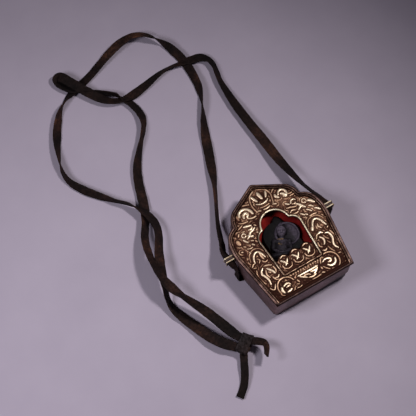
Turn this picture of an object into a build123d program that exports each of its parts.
from build123d import *

import os
from math import radians, tan

# A ghau amulet box with its woven strap, lying on its back. Millimetres.
# +Z points up, out of the decorated front. +Y points to the gable's tip, and +X to the right of
# someone who faces the front. The origin is on the floor, under the middle of the box.

# Sheet and wire sizes
plate_sheet = 1.2
skirt_sheet = 0.9
pan_sheet = 0.9
back_sheet = 1.0
loop_sheet = 1.0
rim_edge_width = 2.4
rim_edge_height = 1.8
rope_wire_width = 1.7
rope_wire_height = 1.5
rim_wire_gap = 0.2
window_wire_width = 1.8
window_wire_height = 1.6
loop_wire_width = 1.0
loop_wire_height = 0.7

# Front plate: its height, the half width of its base, and the points of its right outline
plate_height = 120.0
base_half_width = 43.0
side_top = (50.6, -8.0)
shoulder_widest = (52.0, 4.0)
shoulder_top = (50.2, 16.5)
lobe_middle = (47.2, 22.6)
cusp = (38.2, 28.7)
gable_middle = (36.2, 36.4)
gable_corner = (31.0, 43.2)
gable_corner_radius = 3.0

# Window: a round head on two shoulder lobes, with a sill ornament of three lobes below
window_base_y = -36.6
window_base_half_width = 20.2
window_side_top = (22.4, 1.0)
window_shoulder = (20.4, 8.6)
window_cusp = (14.4, 11.6)
window_head_radius = 14.4
sill_valley_y = -21.5
sill_lobe_y = -24.0
sill_lobe_radius = 6.2
sill_lobe_spacing = 12.6
sill_lobe_count = 3

# Raised work of the front: a field pressed up inside the wires, and the ornament's bold forms on it
field_rise = 0.5
field_margin = 0.7
ornament_rise = 1.0
ornament_share = 0.75

# Case depths and fits
rim_overhang = 0.5
skirt_corner_radius = 5.0
skirt_depth = 21.0
case_fit = 0.3
pan_depth = 34.4
soft_clearance = 0.3

# Strap, and the loops that it passes through, where it is gathered to a narrower and thicker band
strap_width = 10.5
strap_thickness = 1.6
gathered_width = 6.8
gathered_thickness = 2.4
loop_y = 4.0
loop_width = 5.0
loop_opening_height = 5.4
loop_strap_clearance = 0.4
loop_below_plate = 1.0
loop_corner_radius = 0.8
loop_exit = 0.8
exit_fall = 0.7
bend_y = -3.8
bend_fall = 4.5
drop_y = -7.5
drop_turn_height = 17.0
drop_turn_lean = 0.2
bend_run = (0.15, 0.65, 0.75)
bend_width_way = (0.8, 0.35, -0.463)
drop_wall_gap = 0.3

# Contents
packing_height = 10.0
lining_height = 13.0
figure_half_width = 16.4
figure_base_y = -33.0
figure_halo_y = 2.5
figure_slab_height = 13.0
figure_edge_radius = 2.0
halo_lip_width = 2.2
halo_lip_height = 1.2
body_radius = 11.0
body_y = -13.0
body_relief = 5.0
head_radius = 6.0
head_y = 6.5
topknot_radius = 3.0

# Knot and tails
knot_at = (-83.7, -69.8)
knot_turn = -59.0
knot_z = 4.0
knot_length = 13.0
knot_width = 23.0
knot_height = 11.0
knot_edge_radius = 2.6
tail_width = 7.5
tail_thickness = 2.4

# Share of a route's shorter run that a bend between two runs takes up
bend_share = 0.45

# Heights of the faces that pieces share
back_z = strap_thickness
floor_z = back_z + back_sheet
plate_z = back_z + pan_depth
plate_top_z = plate_z + plate_sheet
skirt_z = plate_z - skirt_depth
lining_z = floor_z + packing_height
figure_top_z = lining_z + figure_slab_height
rope_wire_inset = rim_edge_width + rim_wire_gap
pan_inset = rim_overhang + skirt_sheet + case_fit

# Loop sizes that follow from the strap and from the wall that carries the loop
skirt_half_width = shoulder_widest[0] - rim_overhang
loop_opening_width = gathered_width + 2 * loop_strap_clearance
loop_opening_x = skirt_half_width + loop_sheet
loop_outer_x = loop_opening_x + loop_opening_width + loop_sheet
loop_height = loop_opening_height + 2 * loop_sheet
loop_top_z = plate_z - loop_below_plate
loop_middle_z = loop_top_z - loop_height / 2
loop_strap_x = loop_opening_x + loop_opening_width / 2
exit_x = skirt_half_width + loop_strap_clearance + strap_width / 2
exit_y = loop_y + loop_width / 2 + loop_exit
exit_z = loop_middle_z - exit_fall
drop_x = skirt_half_width + drop_wall_gap + gathered_thickness / 2
under_half_length = drop_x + gathered_thickness / 2

# Bold forms of the ornament, each as its half width and the points of its middle line
canopy_forms = [
    (1.5, [(-6.3, 47.5), (-4.8, 44), (-3.4, 40.8)]),
    (1.9, [(1.2, 48.6), (1.8, 45), (2.4, 41.2)]),
    (1.5, [(9.2, 46.3), (8.0, 43.5), (6.6, 41)]),
    (1.0, [(-5.8, 38.6), (-2.5, 36.8), (1.5, 36.2), (5, 37), (7.6, 38.6)]),
]
curl_forms = [
    (1.7, [(-27, 35), (-25.5, 38.5), (-21.5, 40.3), (-17, 39), (-14.2, 35.5), (-13.6, 32)]),
    (1.6, [(-23.3, 32), (-22.3, 35), (-19.5, 35.6), (-18.4, 33)]),
    (1.6, [(15.3, 38.5), (15.6, 36), (17.5, 34)]),
    (1.4, [(18.5, 36.8), (20, 39.3), (23.2, 40.4), (26.2, 38.1), (26.7, 34.8), (24.5, 32)]),
    (1.7, [(21.3, 36.8), (22.6, 35.6)]),
]
shoulder_forms = [
    (1.5, [(-28.8, 24), (-26, 23.4), (-21.8, 22.3)]),
    (1.1, [(-26.3, 19.2), (-23.8, 19), (-21.5, 20.6)]),
    (1.3, [(-31.5, 11.8), (-28.5, 13.8), (-26.5, 16), (-23, 17), (-19.8, 18.6)]),
    (1.1, [(-36, 13), (-34.8, 10.5), (-33.2, 8.3)]),
    (1.1, [(24.3, 22.6), (25.5, 24.8), (28, 25.5), (30.2, 24)]),
    (1.1, [(19.4, 25), (20.8, 23.6), (22.3, 22.6)]),
    (1.6, [(28.5, 19.5), (31, 17), (32.2, 15), (34.3, 12.3)]),
    (1.9, [(40.4, 17.2), (42.4, 15.7), (44.8, 12.4)]),
    (1.1, [(26.5, 8.5), (28, 7), (29.4, 5.3)]),
    (1.1, [(34, 9.5), (36, 7.8), (37.5, 5.5)]),
    (1.4, [(42, 6.8), (44.3, 5), (45.8, 3)]),
]
side_forms = [
    (1.2, [(-38.5, -13), (-37.8, -9.5), (-35.8, -6), (-32.5, -4), (-29.5, -5.2), (-26.8, -12.5)]),
    (1.3, [(27.3, -12.5), (28.8, -9.5), (33.8, -3.2), (37, -3.6), (39.6, -7), (41.8, -13.5)]),
    (1.3, [(-35, -21), (-38, -23.5), (-38.6, -26.5), (-37, -30), (-36, -34), (-36.6, -39)]),
    (1.4, [(-31.6, -23.4), (-29.8, -25.8), (-28, -28.5), (-27.3, -31)]),
    (1.0, [(-29.5, -35), (-27, -35.6), (-24.8, -33.8)]),
    (1.5, [(29.8, -18), (32, -17.3), (33.8, -19)]),
    (1.3, [(29, -21.5), (31, -24), (30.8, -27), (29, -30)]),
    (1.4, [(36, -20.5), (39.8, -24.5), (39.3, -28.5), (37.3, -32.5), (37, -36), (38.6, -39.5)]),
    (1.1, [(24.5, -34.5), (26.5, -35.6), (28.8, -34.5)]),
]
base_forms = [
    (1.6, [(-29.8, -46.5), (-30.6, -49.5), (-29.8, -52.3)]),
    (1.4, [(-27, -53), (-24.5, -52.8), (-21.8, -52)]),
    (1.3, [(-27.5, -46.5), (-24.8, -45.3), (-22, -45.6), (-20.8, -47.8)]),
    (1.3, [(17.5, -44.3), (20.5, -43), (24, -43.5), (26, -45.3), (24.5, -47.2)]),
    (1.5, [(20.3, -49), (22.5, -51), (25.8, -51.3), (28.8, -49.5), (30, -46.3)]),
    (1.3, [(-10.3, -44.6), (11.3, -44.6)]),
    (1.2, [(-8.6, -47.4), (-3.5, -50.2)]),
    (1.4, [(9.6, -47.4), (4.5, -50.4)]),
]

# The two crossed leaves of one sill lobe, about the lobe's own middle line
sill_forms = [
    (1.3, [(-3.6, -23.5), (-1, -26.5), (0.5, -29)]),
    (1.2, [(3, -24.2), (1, -26.8), (-1.8, -29.6)]),
]

# Rings of the ornament, each as the middle, the radius and the half width
ring_forms = [
    ((-33.3, 16.4), 2.0, 0.8),
    ((36.7, 18.7), 2.1, 0.75),
]

# Route of the left strand, from its loop to the knot
left_route = [
    (-exit_x, exit_y, exit_z),
    (-exit_x, 15.5, 26),
    (-52.5, 23.5, 19.8),
    (-47.1, 37.9, 12),
    (-40.5, 53.5, 8.2),
    (-32.2, 69.8, 6.8),
    (-22.6, 89.5, 5.6),
    (-12.5, 114, 3.4),
    (-4.5, 136, 2.4),
    (4, 156.8, 3.2),
    (14.7, 177.3, 5.6),
    (23, 199, 4.2),
    (25.7, 221, 2.2),
    (25.6, 238.7, 1.8),
    (22.7, 254.6, 4),
    (16.6, 267, 8),
    (8.5, 278.5, 12),
    (-1.5, 287, 14),
    (-15.3, 290.5, 13.5),
    (-31.8, 288.2, 10.5),
    (-51.2, 281.6, 6.5),
    (-70.3, 274, 2.6),
    (-85.6, 268.5, 1.5),
    (-98.7, 262.3, 1.6),
    (-111.6, 253, 4.4),
    (-123.4, 240, 5),
    (-136, 222.7, 4.4),
    (-145.5, 202.6, 6),
    (-151, 183.3, 5.6),
    (-149.8, 167.8, 4.6),
    (-140.8, 152.7, 4.6),
    (-129.7, 138.3, 5.8),
    (-118, 125, 7),
    (-107, 113.3, 8.6),
    (-99.4, 99.4, 10.8),
    (-96, 84.5, 12.4),
    (-98.3, 69.5, 14.5),
    (-106.5, 55.7, 15.8),
    (-113.3, 41, 18.6),
    (-117.8, 27.5, 20),
    (-121.5, 16, 16.5),
    (-124.3, 6.5, 9),
    (-124, -4, 3.6),
    (-119, -16.5, 2),
    (-113, -32.4, 4.6),
    (-107, -48, 9),
    (-100, -59, 10.8),
    (-95, -63.9, 10.6),
    (-91, -68.9, 10),
]

# Route of the right strand, from its loop to the fold of its bight
right_route = [
    (exit_x, exit_y, exit_z),
    (exit_x, 16.2, 27.2),
    (54.9, 26.6, 23.3),
    (51.9, 40.3, 19.5),
    (49.7, 57.9, 16),
    (47.8, 82.2, 12.5),
    (47.5, 107.8, 9.8),
    (46, 132.6, 8),
    (45, 156.4, 7),
    (45.3, 179.6, 6.5),
    (46.6, 197.3, 6.3),
    (50.2, 211, 6.3),
    (50.6, 223, 6.2),
    (43.6, 232, 5.8),
    (32, 234.3, 5.6),
    (19.6, 236, 5.6),
    (6.5, 238.3, 5),
    (-8, 236.7, 4),
    (-25.7, 231.7, 3.8),
    (-40.9, 227.4, 5),
    (-54.9, 226.3, 6.2),
    (-67.2, 230.5, 6.6),
    (-76.7, 239.8, 7.8),
    (-85, 253, 9.6),
    (-93.2, 267.3, 11.4),
    (-100.6, 281.7, 11.4),
]

# Height that the right strand falls through in its fold, and its route from there to the knot
fold_drop = 7.0
return_route = [
    (-84.8, 258.6, 4.3),
    (-75, 251, 3.6),
    (-65.6, 243.6, 2.8),
    (-58.2, 235.4, 2),
    (-52.5, 225.5, 2),
    (-47.8, 213.9, 3.2),
    (-47, 200, 5),
    (-51.7, 187.3, 6.2),
    (-61, 175, 6),
    (-71, 162.5, 4.6),
    (-81, 149.2, 2.8),
    (-87.8, 133.6, 2.2),
    (-93, 116.2, 3.4),
    (-97.8, 100.2, 6),
    (-105.2, 85.9, 9),
    (-113.2, 73, 12),
    (-118, 57.4, 18.8),
    (-120.5, 40.5, 24.2),
    (-120.8, 25, 27),
    (-118, 10.4, 25.8),
    (-112, -2, 23.5),
    (-105, -15, 20.5),
    (-98, -29, 18),
    (-91.8, -41.7, 16),
    (-87.8, -51, 14.5),
    (-84.5, -58, 13.2),
    (-81.2, -63.1, 12.5),
]

# Routes of the two tails
short_tail_route = [
    (-77.4, -69.3, 11),
    (-71.6, -73.3, 13.5),
    (-67.6, -78.2, 16.5),
    (-67.8, -84, 18.5),
    (-73, -90.5, 20.5),
]
long_tail_route = [
    (-86.8, -73.3, 7),
    (-92.4, -84, 7),
    (-97, -93, 4.5),
    (-101.6, -100, 2.4),
    (-107, -105.2, 1.7),
    (-112, -109, 1.7),
]


def strap_radii(route):
    """The largest radius that the two runs at each point of a route leave room for."""
    points = [Vector(*p) for p in route]
    radii = []
    for before, point, after in zip(points, points[1:], points[2:]):
        arriving = point - before
        leaving = after - point
        half_turn = radians(arriving.get_angle(leaving)) / 2
        radii.append(bend_share * min(arriving.length, leaving.length) / tan(half_turn))
    return radii


def section_plane(point, direction):
    """The plane across a strap at a point, with its x direction level."""
    along = Vector(*direction)
    return Plane(origin=point, x_dir=Vector(0, 0, 1).cross(along), z_dir=along)


def strap_band(route, width, thickness, name):
    """A flat band along a route: straight runs joined by tangent arcs."""
    radii = strap_radii(route)
    print(name, "radii", [round(r) for r in radii])
    with BuildPart() as band:
        with BuildLine() as path:
            FilletPolyline(*route, radius=radii)
        with BuildSketch(section_plane(route[0], Vector(*route[1]) - Vector(*route[0]))):
            Rectangle(width, thickness)
        sweep(path=path.wire())
    length = path.wire().length
    share = band.part.volume / (length * width * thickness)
    print(name, "length", round(length), "volume share", round(share, 4))
    return band.part


def run_middle(route, index):
    """The middle of the run that follows a route's point, where one node ends and the next begins."""
    middle = (Vector(*route[index]) + Vector(*route[index + 1])) / 2
    return tuple(middle)


# Outlines that several pieces share
with BuildSketch() as plate_outline:
    with BuildLine() as plate_edge:
        base_corner = (base_half_width, -plate_height / 2)
        Line((0, -plate_height / 2), base_corner)
        Line(base_corner, side_top)
        ThreePointArc(side_top, shoulder_widest, shoulder_top)
        ThreePointArc(shoulder_top, lobe_middle, cusp)
        ThreePointArc(cusp, gable_middle, gable_corner)
        Line(gable_corner, (0, plate_height / 2))
        mirror(about=Plane.YZ)
    make_face()
    gable_corners = plate_outline.vertices().filter_by(lambda v: abs(v.Y - gable_corner[1]) < 0.01)
    fillet(gable_corners, gable_corner_radius)

with BuildSketch() as skirt_outline:
    add(plate_outline.sketch)
    offset(amount=-rim_overhang)
    fillet(skirt_outline.vertices().group_by(Axis.Y)[0], skirt_corner_radius)

with BuildSketch() as pan_outline:
    add(skirt_outline.sketch)
    offset(amount=rim_overhang - pan_inset)

with BuildSketch() as pan_inside:
    add(pan_outline.sketch)
    offset(amount=-pan_sheet)

with BuildSketch() as window_outline:
    with BuildLine():
        window_corner = (window_base_half_width, window_base_y)
        Line((0, window_base_y), window_corner)
        Line(window_corner, window_side_top)
        ThreePointArc(window_side_top, window_shoulder, window_cusp)
        RadiusArc(window_cusp, (0, window_cusp[1] + window_head_radius), -window_head_radius)
        mirror(about=Plane.YZ)
    make_face()

with BuildSketch() as sill:
    sill_height = sill_valley_y - window_base_y
    with Locations((0, window_base_y + sill_height / 2)):
        Rectangle(4 * base_half_width, sill_height)
    with Locations((0, sill_lobe_y)):
        with GridLocations(sill_lobe_spacing, 1, sill_lobe_count, 1):
            Circle(sill_lobe_radius)



def ornament_form(half_width, points):
    """One form of the ornament seen from above: a band along a smooth line, with round ends."""
    with BuildSketch() as form:
        with BuildLine():
            if len(points) == 2:
                Line(*points)
            else:
                Spline(*points)
        trace(line_width=2 * half_width * ornament_share)
        with Locations(points[0], points[-1]):
            Circle(half_width * ornament_share)
    return form.sketch


with BuildSketch() as ornament:
    for half_width, points in canopy_forms + curl_forms + shoulder_forms + side_forms + base_forms:
        add(ornament_form(half_width, points))
    for half_width, points in sill_forms:
        leaf = ornament_form(half_width, points)
        with GridLocations(sill_lobe_spacing, 1, sill_lobe_count, 1):
            add(leaf)
    for middle, ring_radius, half_width in ring_forms:
        with Locations(middle):
            Circle(ring_radius + half_width * ornament_share)
            Circle(ring_radius - half_width * ornament_share, mode=Mode.SUBTRACT)

with BuildSketch() as raised_field:
    offset(plate_outline.sketch, amount=-rope_wire_inset - rope_wire_width - field_margin)
    offset(window_outline.sketch, amount=window_wire_width + field_margin, mode=Mode.SUBTRACT)

# Front case
with BuildPart() as front_plate:
    with BuildSketch(Plane.XY.offset(plate_z)):
        add(plate_outline.sketch)
        add(window_outline.sketch, mode=Mode.SUBTRACT)
    extrude(amount=plate_sheet)
    with BuildSketch(Plane.XY.offset(plate_z)):
        add(window_outline.sketch)
        add(sill.sketch, mode=Mode.INTERSECT)
    extrude(amount=plate_sheet)
    with BuildSketch(Plane.XY.offset(plate_top_z)):
        add(raised_field.sketch)
    extrude(amount=field_rise)
    with BuildSketch(Plane.XY.offset(plate_z)):
        add(raised_field.sketch)
    extrude(amount=field_rise, mode=Mode.SUBTRACT)
    with BuildSketch(Plane.XY.offset(plate_top_z)):
        add(ornament.sketch)
    extrude(amount=field_rise + ornament_rise)

with BuildPart() as rim_edge:
    with BuildSketch(Plane.XY.offset(plate_top_z)):
        add(plate_outline.sketch)
        offset(plate_outline.sketch, amount=-rim_edge_width, mode=Mode.SUBTRACT)
    extrude(amount=rim_edge_height)

with BuildPart() as rim_rope_wire:
    with BuildSketch(Plane.XY.offset(plate_top_z)):
        offset(plate_outline.sketch, amount=-rope_wire_inset)
        offset(
            plate_outline.sketch,
            amount=-rope_wire_inset - rope_wire_width,
            mode=Mode.SUBTRACT,
        )
    extrude(amount=rope_wire_height)

with BuildPart() as window_wire:
    with BuildSketch(Plane.XY.offset(plate_top_z)):
        offset(window_outline.sketch, amount=window_wire_width)
        add(window_outline.sketch, mode=Mode.SUBTRACT)
    extrude(amount=window_wire_height)

with BuildPart() as front_skirt:
    with BuildSketch(Plane.XY.offset(skirt_z)):
        add(skirt_outline.sketch)
        offset(skirt_outline.sketch, amount=-skirt_sheet, mode=Mode.SUBTRACT)
    extrude(amount=skirt_depth)

with BuildPart() as skirt_block:
    with BuildSketch(Plane.XY.offset(skirt_z)):
        add(skirt_outline.sketch)
    extrude(amount=skirt_depth)


def strap_loop(side):
    """A strip bent round the strap's opening, its inner leg flat on the skirt."""
    inner_x = skirt_half_width - loop_sheet
    with BuildPart() as loop:
        with BuildSketch(Plane.XZ.offset(-loop_y)):
            with Locations((side * (inner_x + loop_outer_x) / 2, loop_middle_z)):
                RectangleRounded(loop_outer_x - inner_x, loop_height, loop_corner_radius)
            with Locations((side * loop_strap_x, loop_middle_z)):
                Rectangle(loop_opening_width, loop_opening_height, mode=Mode.SUBTRACT)
        extrude(amount=loop_width / 2, both=True)
        add(skirt_block.part, mode=Mode.SUBTRACT)
    return loop.part


def loop_wires(side):
    """Two wires round the outside of a loop, one along each edge of its strip."""
    inner_x = skirt_half_width - loop_sheet
    with BuildPart() as wires:
        for edge in (-1, 1):
            wire_y = loop_y + edge * (loop_width - loop_wire_width) / 2
            with BuildSketch(Plane.XZ.offset(-wire_y)):
                with Locations((side * (inner_x + loop_outer_x) / 2, loop_middle_z)):
                    RectangleRounded(
                        loop_outer_x - inner_x + 2 * loop_wire_height,
                        loop_height + 2 * loop_wire_height,
                        loop_corner_radius + loop_wire_height,
                    )
                    RectangleRounded(
                        loop_outer_x - inner_x,
                        loop_height,
                        loop_corner_radius,
                        mode=Mode.SUBTRACT,
                    )
            extrude(amount=loop_wire_width / 2, both=True)
        add(skirt_block.part, mode=Mode.SUBTRACT)
    return wires.part


with BuildPart() as left_loop:
    add(strap_loop(-1))

with BuildPart() as right_loop:
    add(strap_loop(1))

with BuildPart() as left_loop_wires:
    add(loop_wires(-1))

with BuildPart() as right_loop_wires:
    add(loop_wires(1))

# Rear pan
with BuildPart() as pan_band:
    with BuildSketch(Plane.XY.offset(back_z)):
        add(pan_outline.sketch)
        add(pan_inside.sketch, mode=Mode.SUBTRACT)
    extrude(amount=pan_depth)

with BuildPart() as back_plate:
    with BuildSketch(Plane.XY.offset(back_z)):
        add(pan_inside.sketch)
    extrude(amount=back_sheet)

# Contents
with BuildSketch() as figure_outline:
    with BuildLine():
        figure_corner = (figure_half_width, figure_base_y)
        Line((0, figure_base_y), figure_corner)
        Line(figure_corner, (figure_half_width, figure_halo_y))
        RadiusArc(
            (figure_half_width, figure_halo_y),
            (0, figure_halo_y + figure_half_width),
            -figure_half_width,
        )
        mirror(about=Plane.YZ)
    make_face()

with BuildPart() as packing_pad:
    with BuildSketch(Plane.XY.offset(floor_z)):
        offset(pan_inside.sketch, amount=-soft_clearance)
    extrude(amount=packing_height)

with BuildPart() as red_lining:
    with BuildSketch(Plane.XY.offset(lining_z)):
        offset(pan_inside.sketch, amount=-soft_clearance)
        offset(figure_outline.sketch, amount=soft_clearance, mode=Mode.SUBTRACT)
    extrude(amount=lining_height)

with BuildPart() as clay_figure:
    with BuildSketch(Plane.XY.offset(lining_z)):
        add(figure_outline.sketch)
    extrude(amount=figure_slab_height)
    fillet(clay_figure.faces().sort_by(Axis.Z)[-1].edges(), figure_edge_radius)
    with BuildSketch(Plane.XY.offset(figure_top_z)):
        with Locations((0, figure_halo_y)):
            Circle(figure_half_width - figure_edge_radius)
            Circle(figure_half_width - figure_edge_radius - halo_lip_width, mode=Mode.SUBTRACT)
    extrude(amount=halo_lip_height)
    with Locations((0, body_y, figure_top_z)):
        Cylinder(body_radius, body_relief, align=(Align.CENTER, Align.CENTER, Align.MIN))
    fillet(clay_figure.faces().sort_by(Axis.Z)[-1].edges(), body_relief / 2)
    with Locations((0, head_y, figure_top_z)):
        Sphere(head_radius)
        with Locations((0, head_radius + topknot_radius / 2, 0)):
            Sphere(topknot_radius)

# Strap
with BuildPart() as strap_under:
    with Locations((0, drop_y, 0)):
        Box(
            2 * under_half_length,
            strap_width,
            strap_thickness,
            align=(Align.CENTER, Align.CENTER, Align.MIN),
        )


def strap_drop(side, route):
    """The gathered strap from its stretch under the back, up the wall and through a loop.

    Each section has a centre, the way that the strap runs there, and the way that its width lies.
    """
    leaving = Vector(*route[1]) - Vector(*route[0])
    up = Vector(0, 0, 1)
    ahead = Vector(0, 1, 0)
    outward = Vector(side, 0, 0)
    bend_x = side * (drop_x + loop_strap_x) / 2
    bend_way = Vector(side * bend_run[0], *bend_run[1:])
    bend_width = Vector(side * bend_width_way[0], *bend_width_way[1:])
    sections = [
        ((side * drop_x, drop_y, strap_thickness), up, ahead),
        ((side * drop_x, drop_y, drop_turn_height), up, ahead + outward * drop_turn_lean),
        ((bend_x, bend_y, loop_middle_z - bend_fall), bend_way, bend_width),
        ((side * loop_strap_x, loop_y - loop_width / 2, loop_middle_z), ahead, outward),
        ((side * loop_strap_x, exit_y, exit_z), leaving, outward),
    ]
    with BuildPart() as drop:
        for centre, way, width_way in sections:
            with BuildSketch(Plane(origin=centre, x_dir=width_way, z_dir=way)):
                Rectangle(gathered_width, gathered_thickness)
        loft()
    return drop.part


with BuildPart() as strap_left_drop:
    add(strap_drop(-1, left_route))

with BuildPart() as strap_right_drop:
    add(strap_drop(1, right_route))

with BuildPart() as knot:
    with BuildSketch(Plane((*knot_at, knot_z)).rotated((0, 0, knot_turn))):
        Rectangle(knot_length, knot_width)
    extrude(amount=knot_height)
    fillet(knot.edges(), knot_edge_radius)

lead_runs = 2
left_cut = run_middle(left_route, lead_runs)
right_cut = run_middle(right_route, lead_runs)

with BuildPart() as strap_left_lead:
    left_lead_route = left_route[: lead_runs + 1] + [left_cut]
    add(strap_band(left_lead_route, strap_width, strap_thickness, "strap_left_lead"))

with BuildPart() as strap_right_lead:
    right_lead_route = right_route[: lead_runs + 1] + [right_cut]
    add(strap_band(right_lead_route, strap_width, strap_thickness, "strap_right_lead"))

with BuildPart() as strap_left:
    left_free_route = [left_cut] + left_route[lead_runs + 1 :]
    add(strap_band(left_free_route, strap_width, strap_thickness, "strap_left"))
    add(knot.part, mode=Mode.SUBTRACT)

fold_top = Vector(*right_route[-1])
fold_direction = fold_top - Vector(*right_route[-2])
fold_bottom = fold_top - Vector(0, 0, fold_drop)
fold_back = tuple(fold_bottom - fold_direction)
fold_across = Vector(0, 0, 1).cross(fold_direction)

with BuildPart() as strap_right:
    right_free_route = [right_cut] + right_route[lead_runs + 1 :]
    add(strap_band(right_free_route, strap_width, strap_thickness, "strap_right"))
    with BuildSketch(section_plane(tuple(fold_top), fold_direction)):
        Rectangle(strap_width, strap_thickness)
    fold_axis = Axis(tuple(fold_top - Vector(0, 0, fold_drop / 2)), tuple(fold_across))
    revolve(axis=fold_axis, revolution_arc=180)
    return_free_route = [tuple(fold_bottom), fold_back] + return_route
    add(strap_band(return_free_route, strap_width, strap_thickness, "strap_right_return"))
    add(knot.part, mode=Mode.SUBTRACT)

with BuildPart() as tail_short:
    add(strap_band(short_tail_route, tail_width, tail_thickness, "tail_short"))
    add(knot.part, mode=Mode.SUBTRACT)

with BuildPart() as tail_long:
    add(strap_band(long_tail_route, tail_width, tail_thickness, "tail_long"))
    add(knot.part, mode=Mode.SUBTRACT)

pieces = {
    "front_plate": front_plate,
    "rim_edge": rim_edge,
    "rim_rope_wire": rim_rope_wire,
    "window_wire": window_wire,
    "front_skirt": front_skirt,
    "left_loop": left_loop,
    "right_loop": right_loop,
    "left_loop_wires": left_loop_wires,
    "right_loop_wires": right_loop_wires,
    "pan_band": pan_band,
    "back_plate": back_plate,
    "packing_pad": packing_pad,
    "red_lining": red_lining,
    "clay_figure": clay_figure,
    "strap_under": strap_under,
    "strap_left_drop": strap_left_drop,
    "strap_right_drop": strap_right_drop,
    "strap_left_lead": strap_left_lead,
    "strap_right_lead": strap_right_lead,
    "strap_left": strap_left,
    "strap_right": strap_right,
    "knot": knot,
    "tail_short": tail_short,
    "tail_long": tail_long,
}

os.makedirs("parts", exist_ok=True)
for name, piece in pieces.items():
    piece.part.label = name
    export_step(piece.part, f"parts/{name}.step")
